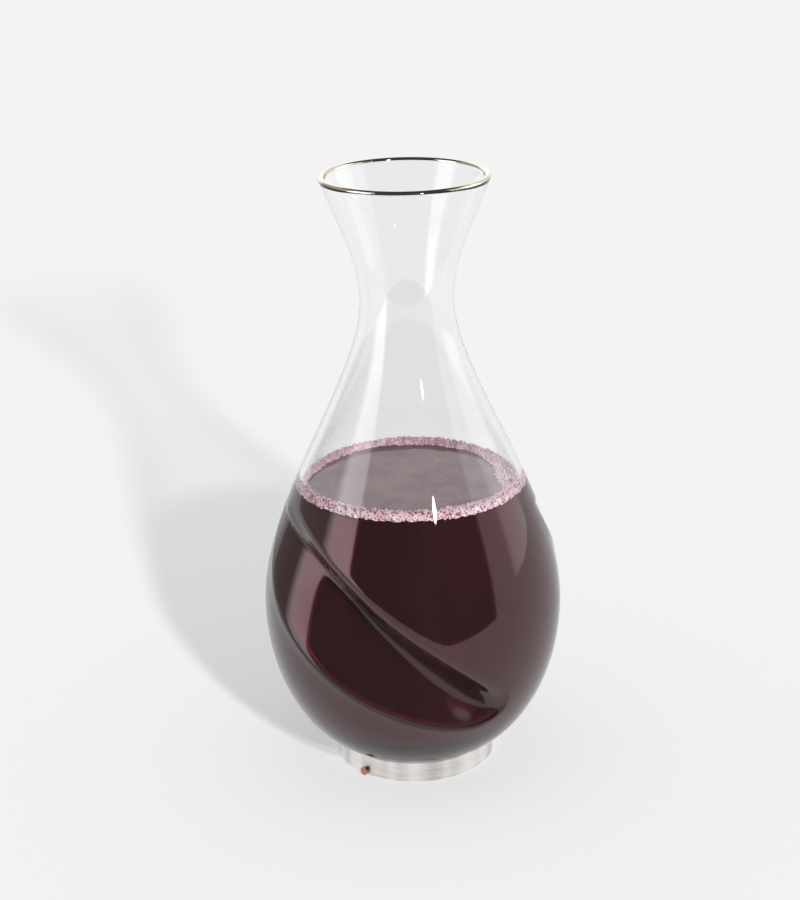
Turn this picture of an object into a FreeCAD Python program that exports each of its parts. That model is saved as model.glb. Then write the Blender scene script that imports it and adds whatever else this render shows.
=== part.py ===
import FreeCAD, Part
import math
import os

# Swirled glass wine decanter on a low steel ring.
# Millimetres, +Z up, origin at the centre of the ring's underside, front towards -Y.
# Angles are degrees round +Z, counter-clockwise from +X, so the front is at 270.

os.makedirs("parts", exist_ok=True)

# ---- Driving dimensions ----

# Glass outline, from the rounded bottom to the flared mouth
height = 228.0              # table to the top of the gilt lip
belly_radius = 56.5
belly_height = 64.0         # level of the widest point
neck_radius = 17.3
neck_height = 181.0         # level of the narrowest point
lip_radius = 31.0
lip_flare = 20.8            # the wall's lean from the vertical at the mouth, degrees
seat_slope = 24.0           # the wall's rise from the horizontal where the ring carries it

# How far each curve holds its direction before it bends away
seat_hold = 13.0
belly_hold_below = 30.0
belly_hold_above = 39.0
neck_hold_below = 28.0
neck_hold_above = 16.0
lip_hold = 21.0
bottom_hold = 7.0

# Glass thickness
wall = 2.2
base_thickness = 4.5        # the gather left at the bottom
base_blend = 24.0           # height over which the bottom thins to the wall

# Gilt line on the lip
band_height = 1.0

# Steel ring
ring_radius = 30.6
ring_height = 8.0
ring_wall = 1.5
ring_chamfer = 0.25
seat_clearance = 0.3        # between the loose glass and the ring, square to the seat

# Copper stud in the ring
stud_angle = 230.5
stud_height = 1.85          # its centre above the table
stud_head_radius = 1.6
stud_stand_out = 1.3
stud_shank_radius = 0.8
stud_fit = 0.05

# Swirls pressed into the blown body: a crease, a hollow below it, and a raised lower edge
swirl_starts = (180.0, 350.0)
swirl_sweep = 130.0         # turn from the start of a swirl to its tip
swirl_top = 104.0           # level at which the crease starts
swirl_drop = 65.0           # fall of the crease from there to the tip
swirl_hurry = 0.46          # how much of the fall comes early
swirl_width = 36.0          # widest distance between the crease and the lower edge
crease_depth = 2.0          # the short cliff just under the crease
crease_run = 2.6
hollow_depth = 11.0
hollow_lead = 7.0           # how far above the crease the glass starts to turn in
hollow_growth = 0.55        # share of the sweep over which the hollow deepens
hollow_hold = 8             # how long it stays deep: more ends it closer to the tip
valley_start = 0.03         # the hollow's deepest line, as a share of the width under the crease
valley_fall = 0.85          # how much further down it lies at the tip
valley_bend = 2.5
width_swell = 0.6           # under 1 the swirl widens fast after its start
crease_swell = 0.8
flank_bend = 1.7            # 1 is a straight flank; more steepens it towards the edge
edge_lift = 1.8
edge_run = 5.0              # distance over which the raised edge sinks back
edge_round = 0.35

# Skin of the glass: control rows up the wall and columns round it
row_spacing = 4.5
columns = 60
bottom_flat = 8.0           # radius of the flat at the centre of the bottom

# ---- Outline ----

seat_rise = math.radians(seat_slope)
seat_radius = ring_radius - ring_wall / 2
# The ring's top slopes inwards like the glass above it
seat_top = ring_height - ring_wall / 2 * math.tan(seat_rise)
seat_height = seat_top + seat_clearance / math.cos(seat_rise)
# A round bottom that meets the seat at its slope
bottom_height = seat_height - seat_radius * math.tan(seat_rise / 2)
glass_top = height - band_height


def bezier(*points):
    """A cubic in the half-plane of the outline: x is the radius, z the level."""
    curve = Part.BezierCurve()
    curve.setPoles([FreeCAD.Vector(r, 0, z) for r, z in points])
    return curve


def outline():
    """The outer face of the glass as four cubics, each running on from the last."""
    along = math.cos(seat_rise)
    up = math.sin(seat_rise)
    out = math.sin(math.radians(lip_flare))
    rise = math.cos(math.radians(lip_flare))
    seat = (seat_radius, seat_height)
    return [
        bezier((bottom_flat, bottom_height),
               (bottom_flat + bottom_hold, bottom_height),
               (seat_radius - bottom_hold * along, seat_height - bottom_hold * up),
               seat),
        bezier(seat,
               (seat_radius + seat_hold * along, seat_height + seat_hold * up),
               (belly_radius, belly_height - belly_hold_below),
               (belly_radius, belly_height)),
        bezier((belly_radius, belly_height),
               (belly_radius, belly_height + belly_hold_above),
               (neck_radius, neck_height - neck_hold_below),
               (neck_radius, neck_height)),
        bezier((neck_radius, neck_height),
               (neck_radius, neck_height + neck_hold_above),
               (lip_radius - lip_hold * out, glass_top - lip_hold * rise),
               (lip_radius, glass_top)),
    ]


def stations():
    """Points along the outline, each with the direction square to the glass there."""
    found = []
    for curve in outline():
        steps = max(2, round(curve.length() / row_spacing))
        for step in range(steps + 1):
            if found and step == 0:
                continue
            place = curve.parameterAtDistance(curve.length() * step / steps, 0)
            point = curve.value(place)
            along = curve.tangent(place)[0]
            found.append((point.x, point.z, along.z, -along.x))
    return found


def thickness(level):
    """Glass thickness at a level: heavy at the bottom, then even to the lip."""
    share = ease((level - bottom_height) / base_blend)
    return base_thickness + (wall - base_thickness) * share


# ---- Swirl ----

def ease(share):
    """A smooth step from 0 to 1."""
    share = min(1.0, max(0.0, share))
    return share * share * (3 - 2 * share)


def soft_max(first, second, rounding):
    """The larger of two values, with the corner where they cross rounded off."""
    gap = abs(first - second) / rounding
    return max(first, second) + rounding * math.log1p(math.exp(-gap))


def swirl(angle, level, start):
    """How far one swirl lifts the glass (+) or presses it in (-) at a place."""
    share = ((angle - start) % 360) / swirl_sweep
    if not 0 < share < 1:
        return 0.0
    taper = math.sin(math.pi * share)
    width = swirl_width * taper ** width_swell
    crease = swirl_top - swirl_drop * share ** 2 * (1 + swirl_hurry * (1 - share))
    below = crease - level
    # The hollow's deepest line leaves the crease and ends near the lower edge
    valley = width * (valley_start + valley_fall * share ** valley_bend)
    cliff = crease_depth * taper ** crease_swell
    hollow = max(cliff, hollow_depth * ease(share / hollow_growth) * (1 - share ** hollow_hold))
    if below < valley:
        fall = ease((below + hollow_lead) / (valley + hollow_lead))
        return -cliff * ease(below / min(crease_run, valley)) - (hollow - cliff) * fall
    # A flank out to the raised edge, which sinks back into the body below
    lift = edge_lift * taper
    reach = (below - valley) / (width - valley)
    flank = (hollow + lift) * (1 - reach ** flank_bend) - lift
    foot = -lift * math.exp(min((width - below) / edge_run, 1))
    return -soft_max(flank, foot, edge_round * taper)


def swirls(angle, level):
    return sum(swirl(angle, level, start) for start in swirl_starts)


# ---- Glass ----

def skin(rows):
    """One smooth face round the glass from rows of (radius, level, out, up, outer level)."""
    # A periodic cubic runs inside its control points by this factor
    swell = 3 / (2 + math.cos(2 * math.pi / columns))
    poles = []
    for radius, level, out, up, outer_level in rows:
        ring = []
        for column in range(columns):
            angle = 360 * column / columns
            lift = swirls(angle, outer_level)
            r = (radius + lift * out) * swell
            turn = math.radians(angle)
            z = level + lift * up
            ring.append(FreeCAD.Vector(r * math.cos(turn), r * math.sin(turn), z))
        poles.append(ring)
    spans = len(rows) - 3
    face = Part.BSplineSurface()
    face.buildFromPolesMultsKnots(
        poles,
        [4] + [1] * (spans - 1) + [4],
        [1] * (columns + 1),
        [float(knot) for knot in range(spans + 1)],
        [float(knot) for knot in range(columns + 1)],
        False, True, 3, 3)
    return face.toShape()


def closed(face):
    """The solid inside a skin, with a flat disc across each end."""
    rims = [edge for edge in face.Edges if edge.isClosed() and not edge.isSeam(face)]
    discs = [Part.Face(Part.Wire([rim])) for rim in rims]
    shell = Part.makeShell([face] + discs)
    shell.sewShape()
    solid = Part.makeSolid(Part.Shell(shell.Faces))
    if solid.Volume < 0:
        solid.reverse()
    return solid


def glass_rows(inside):
    rows = []
    for radius, level, out, up in stations():
        depth = thickness(level) if inside else 0.0
        rows.append((radius - depth * out, level - depth * up, out, up, level))
    # Level ends, square to the axis
    first = rows[0]
    rows[0] = (first[0], first[1], 0.0, 0.0, first[4])
    return rows


def glass_vessel():
    outer = closed(skin(glass_rows(False)))
    rows = glass_rows(True)
    radius, level, out, up, outer_level = rows[-1]
    # Run the inner face on past the mouth so that it cuts a clean rim
    past = 2 * wall
    rows.append((radius - past * up, level + past * out, out, up, outer_level))
    inner = closed(skin(rows))
    return outer.cut(inner)


def inner_lip_radius():
    """Radius of the inner face where the flat rim crosses it."""
    flare = math.radians(lip_flare)
    return lip_radius - wall / math.cos(flare)


def lip_band():
    """The gilt line: a half-round bead on the flat rim, as wide as the glass."""
    inner = inner_lip_radius()
    middle = (inner + lip_radius) / 2
    left = FreeCAD.Vector(inner, 0, glass_top)
    top = FreeCAD.Vector(middle, 0, height)
    right = FreeCAD.Vector(lip_radius, 0, glass_top)
    bead = Part.Wire([Part.Arc(left, top, right).toShape(),
                      Part.LineSegment(right, left).toShape()])
    return turned(bead)


# ---- Ring and stud ----

def turned(wire):
    """A full turn of a closed outline about the axis."""
    return Part.Face(wire).revolve(FreeCAD.Vector(0, 0, 0), FreeCAD.Vector(0, 0, 1), 360)


def stud_cylinder(radius, start, end):
    """A cylinder on the stud's axis, from one distance off the ring's axis to another."""
    turn = math.radians(stud_angle)
    out = FreeCAD.Vector(math.cos(turn), math.sin(turn), 0)
    place = out * start + FreeCAD.Vector(0, 0, stud_height)
    return Part.makeCylinder(radius, end - start, place, out)


def stand_ring():
    inner = ring_radius - ring_wall
    inner_top = ring_height - ring_wall * math.tan(seat_rise)
    section = [
        (inner, ring_chamfer),
        (inner + ring_chamfer, 0),
        (ring_radius - ring_chamfer, 0),
        (ring_radius, ring_chamfer),
        (ring_radius, ring_height),
        (inner, inner_top),
    ]
    points = [FreeCAD.Vector(r, 0, z) for r, z in section]
    ring = turned(Part.makePolygon(points + points[:1]))
    hole = stud_cylinder(stud_shank_radius + stud_fit, inner - ring_wall, ring_radius + ring_wall)
    return ring.cut(hole)


def ring_stud():
    """A round head that hugs the ring, on a shank through the wall."""
    inner = ring_radius - ring_wall
    face = ring_radius + stud_stand_out
    head = stud_cylinder(stud_head_radius, inner, face)
    head = head.cut(Part.makeCylinder(ring_radius, ring_height))
    shank = stud_cylinder(stud_shank_radius, inner, face - stud_stand_out / 2)
    return head.fuse(shank).removeSplitter()


for name, shape in {
    "glass_vessel": glass_vessel(),
    "lip_band": lip_band(),
    "stand_ring": stand_ring(),
    "ring_stud": ring_stud(),
}.items():
    if shape.ShapeType != "Solid" and len(shape.Solids) == 1:
        shape = shape.Solids[0]
    box = shape.BoundBox
    print(name, shape.ShapeType, shape.isValid(), round(shape.Volume, 1),
          [round(value, 2) for value in (box.XMin, box.XMax, box.YMin, box.YMax, box.ZMin, box.ZMax)])
    shape.exportStep("parts/" + name + ".step")
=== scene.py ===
import math
import bmesh
import bpy
import numpy as np
from mathutils import Matrix, Vector


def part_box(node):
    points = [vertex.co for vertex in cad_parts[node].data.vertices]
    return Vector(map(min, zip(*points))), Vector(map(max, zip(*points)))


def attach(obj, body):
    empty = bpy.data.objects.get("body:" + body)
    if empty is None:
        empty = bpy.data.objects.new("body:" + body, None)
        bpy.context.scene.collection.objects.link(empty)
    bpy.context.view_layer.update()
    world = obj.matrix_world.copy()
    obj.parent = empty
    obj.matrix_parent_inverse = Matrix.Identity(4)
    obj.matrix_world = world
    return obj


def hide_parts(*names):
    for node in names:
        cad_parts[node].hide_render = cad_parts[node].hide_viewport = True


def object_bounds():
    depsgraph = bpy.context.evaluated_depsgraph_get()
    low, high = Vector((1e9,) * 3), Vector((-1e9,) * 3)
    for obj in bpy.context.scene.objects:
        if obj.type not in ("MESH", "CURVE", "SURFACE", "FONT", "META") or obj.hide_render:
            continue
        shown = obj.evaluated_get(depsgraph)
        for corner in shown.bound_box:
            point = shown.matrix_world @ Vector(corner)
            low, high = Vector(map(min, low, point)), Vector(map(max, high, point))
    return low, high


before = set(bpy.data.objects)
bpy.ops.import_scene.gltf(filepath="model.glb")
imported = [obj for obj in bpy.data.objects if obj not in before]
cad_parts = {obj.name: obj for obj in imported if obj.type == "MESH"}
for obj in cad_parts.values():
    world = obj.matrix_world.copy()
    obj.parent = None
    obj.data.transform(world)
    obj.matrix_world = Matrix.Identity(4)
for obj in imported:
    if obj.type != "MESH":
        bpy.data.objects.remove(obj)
cad_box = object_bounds()

# ---- Sizes in metres, named as in the part's source ----

MM = 0.001
(_, _, table), (_, _, top) = cad_box
_, (_, _, glass_top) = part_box("glass_vessel")
_, (_, _, ring_height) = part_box("stand_ring")

lip_radius = 31.0 * MM
lip_flare = math.radians(20.8)
belly_radius = 56.5 * MM
belly_height = 64.0 * MM
neck_radius = 17.3 * MM
neck_height = 181.0 * MM
seat_slope = math.radians(24.0)
ring_radius = 30.6 * MM
ring_wall = 1.5 * MM
seat_clearance = 0.3 * MM
wall = 2.2 * MM
base_thickness = 4.5 * MM
base_blend = 24.0 * MM

# How far each curve of the outline holds its direction at its ends
bottom_spread = 15.0 * MM
bottom_hold = 7.0 * MM
seat_hold = 13.0 * MM
belly_hold_below = 30.0 * MM
belly_hold_above = 39.0 * MM
neck_hold_below = 28.0 * MM
neck_hold_above = 16.0 * MM
lip_hold = 21.0 * MM

seat_radius = ring_radius - ring_wall / 2
seat_height = (ring_height - ring_wall / 2 * math.tan(seat_slope)
               + seat_clearance / math.cos(seat_slope))
bottom_height = seat_height - seat_radius * math.tan(seat_slope / 2)

swirl_starts = (180.0, 350.0)
swirl_sweep = 130.0
swirl_top = 104.0 * MM
swirl_drop = 65.0 * MM
swirl_hurry = 0.46
swirl_width = 36.0 * MM
crease_depth = 2.0 * MM
crease_run = 2.6 * MM
hollow_depth = 11.0 * MM
hollow_lead = 7.0 * MM
hollow_growth = 0.55
hollow_hold = 8
valley_start = 0.03
valley_fall = 0.85
valley_bend = 2.5
width_swell = 0.6
crease_swell = 0.8
flank_bend = 1.7
edge_lift = 1.8 * MM
edge_run = 5.0 * MM
edge_round = 0.35 * MM

# ---- Sizes of what the scene adds ----

curve_samples = 200
row_spacing = 1.0 * MM
columns = 288
least_taper = 0.0001            # keeps a swirl's width above nothing at its ends
farthest_reach = 1.6            # how far past the raised edge the flank is worked out

wine_level = 112.0 * MM
into_wall = 0.92                # the wine's side, as a share of the way through the glass
# The wine's top: how far each row is set in, as a share of the radius, and its share of the dip
wine_top_rows = ((0.02, 1.0), (0.03, 0), (0.06, 0), (0.3, 0), (0.6, 0), (0.9, 0))
foam_dip = 0.5 * MM             # the wine stands this much lower under the foam
foam_rise = 2.2 * MM

foam_reach = 3.2 * MM           # how far the foam comes in from the glass
foam_swell = 5.0 * MM           # how much further on the right
foam_ripple = 0.9 * MM
swell_angle = 5                 # degrees round from the right
swell_spread = 1400             # square degrees

foam_seed = 7
bubble_count = 3600
bubble_radii = (0.3 * MM, 0.62 * MM)
bubble_crowding = 1.2           # over 1 puts more of them by the glass
bubble_heap = (0.6, 1.25)       # height of the heap, as a share of the foam's rise
bubble_float = 0.2              # share of its radius that a bubble is lifted
bubble_inset = 0.7              # share of its radius that it keeps off the glass
dark_middle = (0.1, 1.0)        # how dark the middles of bubbles are
dark_tilt = 0.36                # rise of the way that a middle looks, over its run
dark_edge, dark_fade = 0.6, 0.3  # as cosines: where a middle begins, and how soon it is dark

drop_count = 60
drop_size = 0.35                # of a bubble's
drop_levels = (3 * MM, 34 * MM)   # above the wine
# For the drops, the wall above the foam draws in evenly, by so much over such a rise
neck_draw, neck_rise = 28 * MM, 40 * MM

bed_foot = 0.4 * MM             # how far it reaches down past the lowered wine
bed_ragged = 0.35 * MM
bed_clear = 0.03 * MM           # the bed stands this much outside the wine

# ---- Colours, linear red, green and blue, in pairs where a pattern mixes two ----

GLASS = ((0.975, 0.975, 0.995), (1.0, 1.0, 1.0))
GLASS_SHADOW = ((0.93, 0.93, 0.94), (0.45, 0.45, 0.47))   # face on, and edge on
WINE = ((0.024, 0.0095, 0.0105), (0.034, 0.0120, 0.0133))
WINE_GLOSS = (1.0, 0.15, 0.22, 1)
# The wine's top: the colour of a foam film, made paler as a painted reflection of the room on the
# wine
WINE_TOP_FILM_AND_SHEEN = ((0.14, 0.074, 0.079), (0.28, 0.168, 0.176))
FOAM = ((0.72, 0.40, 0.48), (1.0, 0.82, 0.87))
FOAM_MIDDLE = (0.10, 0.045, 0.052)
BED = ((0.78, 0.42, 0.50), (1.0, 0.84, 0.88))
BED_MIDDLE = (0.12, 0.046, 0.056)
GILT = ((0.64, 0.57, 0.47), (0.80, 0.74, 0.64))
STEEL = ((0.62, 0.595, 0.57), (1.0, 0.975, 0.945))
COPPER = ((0.42, 0.20, 0.16), (0.66, 0.34, 0.27))

# ---- Studio: light is 1 where white paper shows white ----

PAPER = 0.896                   # what the camera sees behind the object
ROOM = 0.45                     # plain light on matt surfaces
FLOOR = 0.6
FLOOR_NEAR, FLOOR_FAR = 0.245, 6.0
KEY = 7.6
KEY_AZIMUTH = math.radians(19)  # from the front, to the right
KEY_RISE = math.radians(24.2)
KEY_FAR = 0.85
KEY_SIZE = 0.05

# The room as shiny surfaces see it: azimuth from the front, to the right, and light
DARK, DIM, PALE, FAR, LAMPLIT, WINDOW = 0.06, 0.42, 0.9, 1.3, 1.7, 2.8
ROOM_ZONES = (
    (-180, FAR), (-150, FAR), (-135, DIM), (-85, DIM), (-76, WINDOW), (-54, WINDOW),
    (-52.5, DARK), (64, DARK), (66, PALE), (86, PALE), (92, LAMPLIT), (118, LAMPLIT),
    (125, PALE), (150, PALE), (180, FAR),
)
# By the sine of the rise: the bright walls fade to HIGH, and the dark ceiling starts
HIGH = 1.8
WALL_FADE = (0.30, 0.42)
CEILING = (0.62, 0.74)
# A small bright lamp in the room, with its reach as cosines of the angle from its middle
SPARK = 40.0
SPARK_AZIMUTH = math.radians(23.4)
SPARK_RISE = math.radians(25.4)
SPARK_REACH = (math.cos(math.radians(1.9)), math.cos(math.radians(1.5)))

CAMERA_PLACE = (-0.0037, -0.690, 0.371)
CAMERA_PITCH = math.radians(19.74)
CAMERA_ROLL = math.radians(-1.26)
CAMERA_LENS = 78.4
CAMERA_SENSOR = 36
CAMERA_NEAR = 0.01


# ---- Outline of the glass ----

def bezier(points, share):
    """Points on the cubic with these four poles."""
    a, b, c, d = (np.array(point) for point in points)
    t = share[:, None]
    u = 1 - t
    return u ** 3 * a + 3 * u ** 2 * t * b + 3 * u * t ** 2 * c + t ** 3 * d


def outline():
    """Points (radius, level) up the outside of the glass, evenly spaced, and their normals."""
    along = np.array((math.cos(seat_slope), math.sin(seat_slope)))
    flare = np.array((math.sin(lip_flare), math.cos(lip_flare)))
    up = np.array((0, 1))
    seat = np.array((seat_radius, seat_height))
    belly = np.array((belly_radius, belly_height))
    neck = np.array((neck_radius, neck_height))
    lip = np.array((lip_radius, glass_top))
    cubics = [
        ((0, bottom_height), (bottom_spread, bottom_height), seat - bottom_hold * along, seat),
        (seat, seat + seat_hold * along, belly - belly_hold_below * up, belly),
        (belly, belly + belly_hold_above * up, neck - neck_hold_below * up, neck),
        (neck, neck + neck_hold_above * up, lip - lip_hold * flare, lip),
    ]
    share = np.linspace(0, 1, curve_samples)
    dense = np.concatenate([bezier(cubic, share)[(0 if i == 0 else 1):]
                            for i, cubic in enumerate(cubics)])
    run = np.concatenate([[0], np.cumsum(np.hypot(*np.diff(dense, axis=0).T))])
    even = np.linspace(0, run[-1], int(run[-1] / row_spacing))
    points = np.column_stack([np.interp(even, run, dense[:, 0]), np.interp(even, run, dense[:, 1])])
    slope = np.gradient(points, axis=0)
    slope /= np.linalg.norm(slope, axis=1)[:, None]
    normals = np.column_stack([slope[:, 1], -slope[:, 0]])
    # The point on the axis is left to the mesh, which closes there
    return points[1:], normals[1:]


def ease(share):
    """A smooth step from 0 to 1."""
    share = np.clip(share, 0, 1)
    return share * share * (3 - 2 * share)


def thickness(level):
    """Glass thickness at a level: heavy at the bottom, then even to the lip."""
    return base_thickness + (wall - base_thickness) * ease((level - bottom_height) / base_blend)


# ---- Swirl ----

def swirl(angle, level, start):
    """How far one swirl lifts the glass (+) or presses it in (-), by angle and level."""
    share = ((angle - start) % 360) / swirl_sweep
    inside = share < 1
    share = np.minimum(share, 1)
    taper = np.sin(math.pi * share) * inside + least_taper
    width = swirl_width * taper ** width_swell
    below = swirl_top - swirl_drop * share ** 2 * (1 + swirl_hurry * (1 - share)) - level
    valley = width * (valley_start + valley_fall * share ** valley_bend)
    cliff = crease_depth * taper ** crease_swell
    deep = hollow_depth * ease(share / hollow_growth) * (1 - share ** hollow_hold)
    hollow = np.maximum(deep, cliff)
    # Above the valley: a short cliff at the crease, then an easy fall
    upper = (cliff * ease(below / np.minimum(crease_run, valley))
             + (hollow - cliff) * ease((below + hollow_lead) / (valley + hollow_lead)))
    # Below it: a flank that steepens out to a raised edge, which sinks back into the body
    reach = np.clip((below - valley) / (width - valley), 0, farthest_reach)
    lift = edge_lift * taper
    flank = (hollow + lift) * (1 - reach ** flank_bend) - lift
    foot = -lift * np.exp(np.minimum((width - below) / edge_run, 1))
    soft = edge_round * taper
    lower = soft * np.logaddexp(flank / soft, foot / soft)
    return -np.where(below < valley, upper, lower) * inside


def swirls(angle, level):
    return sum(swirl(angle, level, start) for start in swirl_starts)


# ---- Mesh helpers ----

def round_axis(radius, turn, level):
    """Points at these radii, turns in radians and levels."""
    return np.stack([radius * np.cos(turn), radius * np.sin(turn), level], axis=-1)


def skin_rows(points, normals, depth):
    """Rows of points round the swirled glass, set in by depth."""
    angle = np.arange(columns) * 360 / columns
    level = points[:, 1]
    lift = swirls(angle[None, :], level[:, None]) - depth[:, None]
    r = points[:, 0][:, None] + lift * normals[:, 0][:, None]
    z = level[:, None] + lift * normals[:, 1][:, None]
    return round_axis(r, np.radians(angle), z)


def add_object(name, data):
    made = bpy.data.objects.new(name, data)
    bpy.context.collection.objects.link(made)
    return made


def smooth_mesh(name, verts, faces):
    mesh = bpy.data.meshes.new(name)
    mesh.from_pydata(verts, [], faces)
    mesh.polygons.foreach_set("use_smooth", [True] * len(mesh.polygons))
    mesh.update()
    return mesh


def grid_mesh(name, rows, closed=True):
    """A smooth piece from rows of points that each go once round the axis."""
    count = len(rows)
    verts = [tuple(point) for row in rows for point in row]
    faces = []
    for i in range(count - 1):
        low, high = i * columns, (i + 1) * columns
        for j in range(columns):
            k = (j + 1) % columns
            faces.append((low + j, low + k, high + k, high + j))
    for row, flip in ((0, True), (count - 1, False)) if closed else ():
        centre = len(verts)
        verts.append(tuple(np.mean(rows[row], axis=0)))
        for j in range(columns):
            edge = (row * columns + j, row * columns + (j + 1) % columns)
            faces.append((centre, *edge[::-1]) if flip else (centre, *edge))
    return add_object(name, smooth_mesh(name, verts, faces))


# ---- Node helpers ----

def feed(links, socket, value):
    """Sets a socket to a number or a colour, or links another socket to it."""
    if isinstance(value, bpy.types.NodeSocket):
        links.new(value, socket)
    else:
        socket.default_value = value


def math_node(nodes, links, operation, *values):
    node = nodes.new("ShaderNodeMath")
    node.operation = operation
    for socket, value in zip(node.inputs, values):
        feed(links, socket, value)
    return node.outputs[0]


def vector_node(nodes, links, operation, *values):
    node = nodes.new("ShaderNodeVectorMath")
    node.operation = operation
    for socket, value in zip(node.inputs, values):
        feed(links, socket, value)
    return node.outputs["Value" if operation == "DOT_PRODUCT" else "Vector"]


def mix_value(nodes, links, share, first, second):
    node = nodes.new("ShaderNodeMix")
    node.data_type = "FLOAT"
    for index, value in ((0, share), (2, first), (3, second)):
        feed(links, node.inputs[index], value)
    return node.outputs[0]


def mix_colour(nodes, links, share, first, second):
    """A mix of two colours, each given as a socket or as (red, green, blue)."""
    node = nodes.new("ShaderNodeMix")
    node.data_type = "RGBA"
    for index, value in ((0, share), (6, first), (7, second)):
        feed(links, node.inputs[index], (*value, 1) if isinstance(value, tuple) else value)
    return node.outputs[2]


def map_range(nodes, links, value, low, high, start=0.0, end=1.0):
    node = nodes.new("ShaderNodeMapRange")
    for name, number in (("From Min", low), ("From Max", high), ("To Min", start), ("To Max", end)):
        node.inputs[name].default_value = number
    links.new(value, node.inputs["Value"])
    return node.outputs[0]


def placed(nodes, links, scale=(1, 1, 1)):
    """Object coordinates in metres, stretched by scale."""
    coords = nodes.new("ShaderNodeTexCoord")
    mapping = nodes.new("ShaderNodeMapping")
    mapping.inputs["Scale"].default_value = scale
    links.new(coords.outputs["Object"], mapping.inputs["Vector"])
    return mapping.outputs[0]


def noise(nodes, links, vector, scale, detail=3.0):
    node = nodes.new("ShaderNodeTexNoise")
    node.inputs["Scale"].default_value = scale
    node.inputs["Detail"].default_value = detail
    links.new(vector, node.inputs["Vector"])
    return node.outputs["Fac"]


def bump(nodes, links, shader, height, depth):
    node = nodes.new("ShaderNodeBump")
    node.inputs["Strength"].default_value = 1.0
    node.inputs["Distance"].default_value = depth
    links.new(height, node.inputs["Height"])
    links.new(node.outputs[0], shader.inputs["Normal"])


def paint(nodes, links, shader, share, first, second):
    """Mixes the shader's colour from two, by a share."""
    links.new(mix_colour(nodes, links, share, first, second), shader.inputs["Base Color"])


# ---- Materials ----

def material(name, roughness, **settings):
    """A material with its shader's sockets set: an underscore stands for a space."""
    made = bpy.data.materials.new(name)
    made.use_nodes = True
    nodes, links = made.node_tree.nodes, made.node_tree.links
    shader = nodes["Principled BSDF"]
    shader.inputs["Roughness"].default_value = roughness
    for key, value in settings.items():
        shader.inputs[key.replace("_", " ")].default_value = value
    return made, nodes, links, shader


def glass_material():
    """Hand-blown glass, near colourless with faint drawn streaks; light passes through it."""
    made, nodes, links, shader = material("clear_glass", 0.0, IOR=1.5, Transmission_Weight=1.0)
    drawn = noise(nodes, links, placed(nodes, links, (1, 1, 0.12)), scale=60, detail=1.0)
    paint(nodes, links, shader, drawn, *GLASS)
    # Its shadow is faint, and stronger where the wall is seen edge on
    slant = nodes.new("ShaderNodeLayerWeight")
    slant.inputs["Blend"].default_value = 0.3
    through = nodes.new("ShaderNodeBsdfTransparent")
    links.new(mix_colour(nodes, links, slant.outputs["Facing"], *GLASS_SHADOW),
              through.inputs["Color"])
    path = nodes.new("ShaderNodeLightPath")
    pick = nodes.new("ShaderNodeMixShader")
    links.new(path.outputs["Is Shadow Ray"], pick.inputs[0])
    links.new(shader.outputs[0], pick.inputs[1])
    links.new(through.outputs[0], pick.inputs[2])
    links.new(pick.outputs[0], nodes["Material Output"].inputs["Surface"])
    return made


def wine_material():
    """Wine against the glass, where little light turns back between the two."""
    made, nodes, links, shader = material("red_wine", 0.05, IOR=1.46, Specular_Tint=WINE_GLOSS)
    cloud = noise(nodes, links, placed(nodes, links, (1, 1, 0.35)), scale=55)
    paint(nodes, links, shader, map_range(nodes, links, cloud, 0.35, 0.7), *WINE)
    return made


def wine_surface_material():
    """The open top of the wine: a thin film left by the foam, painted paler as well to stand for
    the room's reflection on it (painted reflection).
    """
    made, nodes, links, shader = material("wine_surface", 0.05, IOR=1.34)
    place = placed(nodes, links)
    fine = math_node(nodes, links, "MULTIPLY", noise(nodes, links, place, scale=420), 0.35)
    film = math_node(nodes, links, "ADD", noise(nodes, links, place, scale=70, detail=5.0), fine)
    # Painted reflection: besides the film's own colour, the pale tone stands in for the room's
    # sheen on the wine's top
    paint(nodes, links, shader, map_range(nodes, links, film, 0.45, 0.95), *WINE_TOP_FILM_AND_SHEEN)
    bump(nodes, links, shader, film, 0.03 * MM)
    return made


def foam_material():
    """Pale pink films, each bubble darker where the wine shows through its middle."""
    made, nodes, links, shader = material("pink_foam", 0.1, IOR=1.34)
    patch = noise(nodes, links, placed(nodes, links), scale=300)
    pale = mix_colour(nodes, links, map_range(nodes, links, patch, 0.3, 0.7), *FOAM)
    film = nodes.new("ShaderNodeAttribute")
    film.attribute_name = "film"
    paint(nodes, links, shader, film.outputs["Fac"], pale, FOAM_MIDDLE)
    return made


def foam_bed_material():
    """Fine foam against the glass: round cells with pale films and darker middles."""
    made, nodes, links, shader = material("foam_bed", 0.15, IOR=1.34)
    froth = nodes.new("ShaderNodeTexVoronoi")
    froth.inputs["Scale"].default_value = 820
    links.new(placed(nodes, links), froth.inputs["Vector"])
    away = froth.outputs["Distance"]
    split = nodes.new("ShaderNodeSeparateColor")
    links.new(froth.outputs["Color"], split.inputs[0])
    pale = mix_colour(nodes, links, split.outputs[0], *BED)
    middle = math_node(nodes, links, "MULTIPLY", map_range(nodes, links, away, 0.44, 0.28),
                       map_range(nodes, links, split.outputs[1], 0, 1, 0.3, 1))
    gap = map_range(nodes, links, away, 0.62, 0.74, 0, 0.8)
    paint(nodes, links, shader, math_node(nodes, links, "MAXIMUM", middle, gap), pale, BED_MIDDLE)
    bump(nodes, links, shader, away, 0.2 * MM)
    return made


def gilt_material():
    """A fired-on gold line, slightly uneven."""
    made, nodes, links, shader = material("gilt_lip", 0.05, Metallic=1.0)
    uneven = noise(nodes, links, placed(nodes, links), scale=400)
    paint(nodes, links, shader, uneven, *GILT)
    bump(nodes, links, shader, uneven, 0.03 * MM)
    return made


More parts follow.
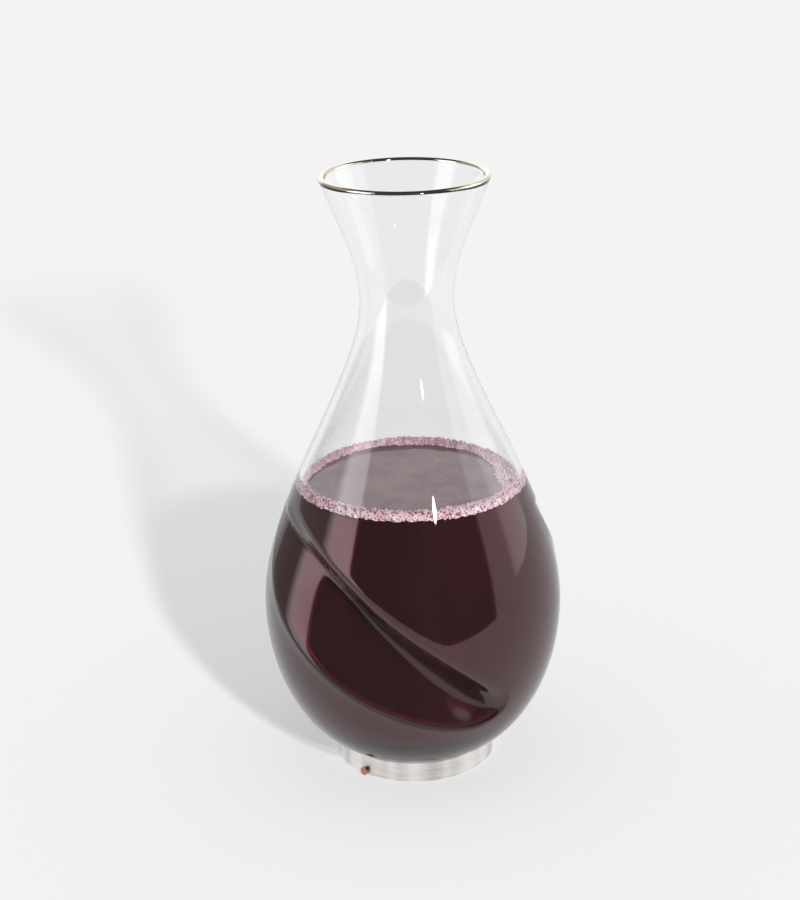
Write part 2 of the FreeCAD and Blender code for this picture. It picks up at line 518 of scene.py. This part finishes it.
def steel_material():
    """Steel brushed round the ring."""
    made, nodes, links, shader = material("brushed_steel_ring", 0.3, Metallic=1.0)
    brushed = noise(nodes, links, placed(nodes, links, (1, 1, 60)), scale=60, detail=6.0)
    cloud = noise(nodes, links, placed(nodes, links, (1, 1, 0.05)), scale=110, detail=1.0)
    tone = math_node(nodes, links, "ADD", math_node(nodes, links, "MULTIPLY", brushed, 0.4),
                     math_node(nodes, links, "MULTIPLY", cloud, 0.6))
    paint(nodes, links, shader, map_range(nodes, links, tone, 0.38, 0.62), *STEEL)
    links.new(map_range(nodes, links, brushed, 0.2, 0.8, 0.24, 0.36), shader.inputs["Roughness"])
    bump(nodes, links, shader, brushed, 0.03 * MM)
    return made


def copper_material():
    """Worn copper, darker in patches."""
    made, nodes, links, shader = material("copper_stud", 0.3, Metallic=1.0)
    worn = noise(nodes, links, placed(nodes, links), scale=900)
    paint(nodes, links, shader, map_range(nodes, links, worn, 0.35, 0.65), *COPPER)
    bump(nodes, links, shader, worn, 0.04 * MM)
    return made


# ---- Pieces ----

def build_glass():
    points, normals = outline()
    outer = skin_rows(points, normals, np.zeros(len(points)))
    inner = skin_rows(points, normals, thickness(points[:, 1]))
    # Both faces end at the flat rim
    inner[-1, :, 2] = glass_top
    piece = grid_mesh("blown_glass", list(outer) + list(inner[::-1]))
    piece.data.materials.append(glass_material())
    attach(piece, "vessel")
    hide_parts("glass_vessel")


def inner_rows(low, high):
    """Rows round the inside of the glass between two levels, a little into its wall."""
    points, normals = outline()
    rows = skin_rows(points, normals, into_wall * thickness(points[:, 1]))
    return rows[(rows[:, 0, 2] > low) & (rows[:, 0, 2] < high)]


def build_wine():
    rows = list(inner_rows(table, wine_level - foam_dip))
    side = rows[-1]
    # The top: it starts under the foam, level from its inner edge on
    for inset, dip in wine_top_rows:
        row = side * (1 - inset)
        row[:, 2] = wine_level - dip * foam_dip
        rows.append(row)
    piece = grid_mesh("red_wine", rows)
    piece.data.materials.append(wine_material())
    piece.data.materials.append(wine_surface_material())
    centre = np.empty(len(piece.data.polygons) * 3)
    piece.data.polygons.foreach_get("center", centre)
    on_top = centre[2::3] > wine_level - 0.1 * MM
    piece.data.polygons.foreach_set("material_index", on_top.astype(int).tolist())
    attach(piece, "vessel")


def ball():
    """The corners and faces of a small round bubble of radius 1."""
    low = bmesh.new()
    bmesh.ops.create_icosphere(low, subdivisions=1, radius=1.0)
    low.verts.ensure_lookup_table()
    corners = np.array([vert.co[:] for vert in low.verts])
    faces = np.array([[vert.index for vert in face.verts] for face in low.faces])
    low.free()
    return corners, faces


def foam_width(turn):
    """How far the foam reaches in from the glass, wider on the right."""
    swell = np.exp(-((np.degrees(turn) - swell_angle + 180) % 360 - 180) ** 2 / swell_spread)
    ripple = 0.5 * np.sin(5 * turn + 1) + 0.35 * np.sin(11 * turn + 2) + 0.25 * np.sin(23 * turn)
    return foam_reach + foam_swell * swell + foam_ripple * ripple


def build_bubbles(random, wall_levels, wall_radii):
    """Bubbles heaped round the edge of the wine."""
    corners, faces = ball()
    turns = random.uniform(0, 2 * math.pi, bubble_count)
    sizes = random.uniform(*bubble_radii, bubble_count)
    share = random.uniform(0, 1, bubble_count) ** bubble_crowding
    heap = (1 - share) * random.uniform(*bubble_heap, bubble_count) * foam_rise
    levels = wine_level + heap + bubble_float * sizes
    # A few of them are drops left on the glass above the foam
    drops = np.arange(bubble_count) < drop_count
    sizes = np.where(drops, drop_size * sizes, sizes)
    levels = np.where(drops, wine_level + random.uniform(*drop_levels, bubble_count), levels)
    wall_here = np.interp(levels, np.append(wall_levels, wall_levels[-1] + neck_rise),
                          np.append(wall_radii, wall_radii[-1] - neck_draw))
    inset = bubble_inset * sizes + share * foam_width(turns)
    radii = wall_here - np.where(drops, 0, inset)
    centres = round_axis(radii, turns, levels)
    verts = centres[:, None, :] + sizes[:, None, None] * corners[None, :, :]
    # The darker middles look a little up from the level, both out from the axis and in to it
    outwards = np.column_stack([np.cos(turns), np.sin(turns)])
    level_part = np.einsum("ij,kj->ik", outwards, corners[:, :2])
    facing = (np.abs(level_part) + dark_tilt * corners[None, :, 2]) / math.hypot(1, dark_tilt)
    darkness = random.uniform(*dark_middle, bubble_count)[:, None]
    dark = np.clip((facing - dark_edge) / dark_fade, 0, 1) * darkness
    shift = len(corners) * np.arange(bubble_count)[:, None, None]
    all_faces = (faces[None, :, :] + shift).reshape(-1, 3)

    mesh = smooth_mesh("wine_foam", verts.reshape(-1, 3).tolist(), all_faces.tolist())
    film = mesh.attributes.new("film", "FLOAT", "POINT")
    film.data.foreach_set("value", dark.reshape(-1))
    mesh.materials.append(foam_material())
    piece = add_object("wine_foam", mesh)
    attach(piece, "vessel")


def build_bed(random, wall_levels, wall_radii):
    """The finer foam under the bubbles, from the glass to the foam's inner edge."""
    turn = np.arange(columns) * 2 * math.pi / columns
    ragged = random.uniform(-1, 1, columns) * bed_ragged
    rows = []
    # Share of the way in, and climb: up the glass from a ragged foot, then down to the wine
    for share, climb in ((0.0, -foam_dip - bed_foot + ragged), (0.0, 0), (0.0, foam_rise + ragged),
                         (0.25, 0.8 * foam_rise + ragged), (0.6, 0.45 * foam_rise),
                         (0.9, 0.2 * foam_rise), (1.0, -0.2 * MM)):
        level = wine_level + climb + 0 * turn
        radius = np.interp(level, wall_levels, wall_radii) + bed_clear - share * foam_width(turn)
        rows.append(round_axis(radius, turn, level))
    piece = grid_mesh("foam_bed", rows, closed=False)
    piece.data.materials.append(foam_bed_material())
    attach(piece, "vessel")


def build_foam():
    wall_rows = inner_rows(wine_level - 4 * MM, wine_level + 5 * MM)
    wall_levels = wall_rows[:, 0, 2]
    wall_radii = np.hypot(wall_rows[:, 0, 0], wall_rows[:, 0, 1])
    random = np.random.default_rng(foam_seed)
    build_bubbles(random, wall_levels, wall_radii)
    build_bed(random, wall_levels, wall_radii)


# ---- Studio ----

def lamp_place(azimuth, rise, far):
    """Where a lamp stands, and the direction to it from the middle of the object."""
    away = Vector((math.sin(azimuth), -math.cos(azimuth), math.tan(rise)))
    return away * far + Vector((0, 0, (top + table) / 2)), away.normalized()


def floor_material():
    """Pale paper: it takes the object's shadow, and its lift evens out the key light's fall."""
    made, nodes, links, shader = material("pale_floor", 0.7, Specular_IOR_Level=0.0)
    shader.inputs["Base Color"].default_value = (FLOOR, FLOOR, FLOOR * 1.005, 1)
    place, away = lamp_place(KEY_AZIMUTH, KEY_RISE, KEY_FAR)
    coords = nodes.new("ShaderNodeTexCoord")
    ray = vector_node(nodes, links, "SUBTRACT", place, coords.outputs["Object"])
    unit = vector_node(nodes, links, "NORMALIZE", ray)
    facing = vector_node(nodes, links, "DOT_PRODUCT", unit, away)
    split = nodes.new("ShaderNodeSeparateXYZ")
    links.new(unit, split.inputs[0])
    slant = math_node(nodes, links, "MULTIPLY", facing, split.outputs["Z"])
    lit = math_node(nodes, links, "MULTIPLY", slant, FLOOR * KEY / math.pi ** 2)
    lift = math_node(nodes, links, "SUBTRACT", PAPER - FLOOR * ROOM, lit)
    path = nodes.new("ShaderNodeLightPath")
    seen = math_node(nodes, links, "MAXIMUM", path.outputs["Is Camera Ray"],
                     path.outputs["Is Transmission Ray"])
    seen = math_node(nodes, links, "MAXIMUM", seen, path.outputs["Is Glossy Ray"])
    shader.inputs["Emission Color"].default_value = (1, 1, 1, 1)
    links.new(math_node(nodes, links, "MULTIPLY", seen, lift), shader.inputs["Emission Strength"])
    return made


def build_floor():
    corners = [(-FLOOR_FAR, -FLOOR_NEAR, table), (FLOOR_FAR, -FLOOR_NEAR, table),
               (FLOOR_FAR, FLOOR_FAR, table), (-FLOOR_FAR, FLOOR_FAR, table)]
    mesh = bpy.data.meshes.new("floor")
    mesh.from_pydata(corners, [], [(0, 1, 2, 3)])
    mesh.materials.append(floor_material())
    piece = add_object("floor", mesh)


def room():
    """The world: plain light for matt surfaces, a room for shiny ones, paper for the camera."""
    world = bpy.data.worlds.new("studio")
    bpy.context.scene.world = world
    world.use_nodes = True
    # Light that differs by kind of ray comes out wrong where the world is sampled as a lamp
    world.cycles.sampling_method = "NONE"
    nodes, links = world.node_tree.nodes, world.node_tree.links
    back = nodes["Background"]
    back.inputs["Color"].default_value = (1, 1, 1, 1)
    coords = nodes.new("ShaderNodeTexCoord")
    split = nodes.new("ShaderNodeSeparateXYZ")
    links.new(coords.outputs["Generated"], split.inputs[0])
    away = math_node(nodes, links, "MULTIPLY", split.outputs["Y"], -1.0)
    azimuth = math_node(nodes, links, "ARCTAN2", split.outputs["X"], away)
    zones = nodes.new("ShaderNodeValToRGB")
    links.new(map_range(nodes, links, azimuth, -math.pi, math.pi), zones.inputs[0])
    # The ramp holds light as a share of the brightest
    stops = zones.color_ramp.elements
    stops[0].color = stops[1].color = (ROOM_ZONES[0][1] / WINDOW,) * 3 + (1,)
    for angle, light in ROOM_ZONES[1:-1]:
        stops.new((angle + 180) / 360).color = (light / WINDOW,) * 3 + (1,)
    walls = math_node(nodes, links, "MULTIPLY", zones.outputs[0], WINDOW)
    above = map_range(nodes, links, split.outputs["Z"], *WALL_FADE, WINDOW, HIGH)
    walls = math_node(nodes, links, "MINIMUM", walls, above)
    ceiling = map_range(nodes, links, split.outputs["Z"], *CEILING)
    shiny = mix_value(nodes, links, ceiling, walls, DARK)
    # One small bright lamp, seen in shiny surfaces alone
    level = math.cos(SPARK_RISE)
    lamp_way = (math.sin(SPARK_AZIMUTH) * level, -math.cos(SPARK_AZIMUTH) * level,
                math.sin(SPARK_RISE))
    aim = vector_node(nodes, links, "DOT_PRODUCT", coords.outputs["Generated"], lamp_way)
    spark = map_range(nodes, links, aim, *SPARK_REACH, 0.0, SPARK)
    direct = math_node(nodes, links, "ADD", shiny, spark)
    path = nodes.new("ShaderNodeLightPath")
    # Through clear glass the paper goes on; a ray that was turned back before it sees the room
    turned = math_node(nodes, links, "MINIMUM", path.outputs["Glossy Depth"], 1.0)
    through = mix_value(nodes, links, turned, PAPER, shiny)
    strength = mix_value(nodes, links, path.outputs["Is Glossy Ray"], ROOM, direct)
    strength = mix_value(nodes, links, path.outputs["Is Transmission Ray"], strength, through)
    strength = mix_value(nodes, links, path.outputs["Is Camera Ray"], strength, PAPER)
    links.new(strength, back.inputs["Strength"])


def key_lamp():
    """A round lamp that looks at the object and keeps its strength over distance."""
    data = bpy.data.lights.new("key", "AREA")
    data.shape = "DISK"
    data.size = KEY_SIZE
    data.energy = KEY
    data.use_nodes = True
    nodes, links = data.node_tree.nodes, data.node_tree.links
    falloff = nodes.new("ShaderNodeLightFalloff")
    falloff.inputs["Strength"].default_value = 1.0
    links.new(falloff.outputs["Constant"], nodes["Emission"].inputs["Strength"])
    place, away = lamp_place(KEY_AZIMUTH, KEY_RISE, KEY_FAR)
    made = add_object("key", data)
    made.location = place
    made.rotation_euler = (-away).to_track_quat("-Z", "Y").to_euler()
    # The room's own lights are what shiny surfaces and clear glass show
    made.visible_glossy = False
    made.visible_transmission = False


def camera():
    data = bpy.data.cameras.new("camera")
    data.lens = CAMERA_LENS
    data.sensor_width = CAMERA_SENSOR
    data.clip_start = CAMERA_NEAR
    made = add_object("camera", data)
    made.matrix_world = (Matrix.Translation(CAMERA_PLACE)
                         @ Matrix.Rotation(math.pi / 2 - CAMERA_PITCH, 4, "X")
                         @ Matrix.Rotation(CAMERA_ROLL, 4, "Z"))
    bpy.context.scene.camera = made


build_glass()
build_wine()
build_foam()
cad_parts["lip_band"].data.materials[0] = gilt_material()
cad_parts["stand_ring"].data.materials[0] = steel_material()
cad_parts["ring_stud"].data.materials[0] = copper_material()
build_floor()
room()
key_lamp()
camera()
bpy.context.scene.view_settings.view_transform = "Standard"
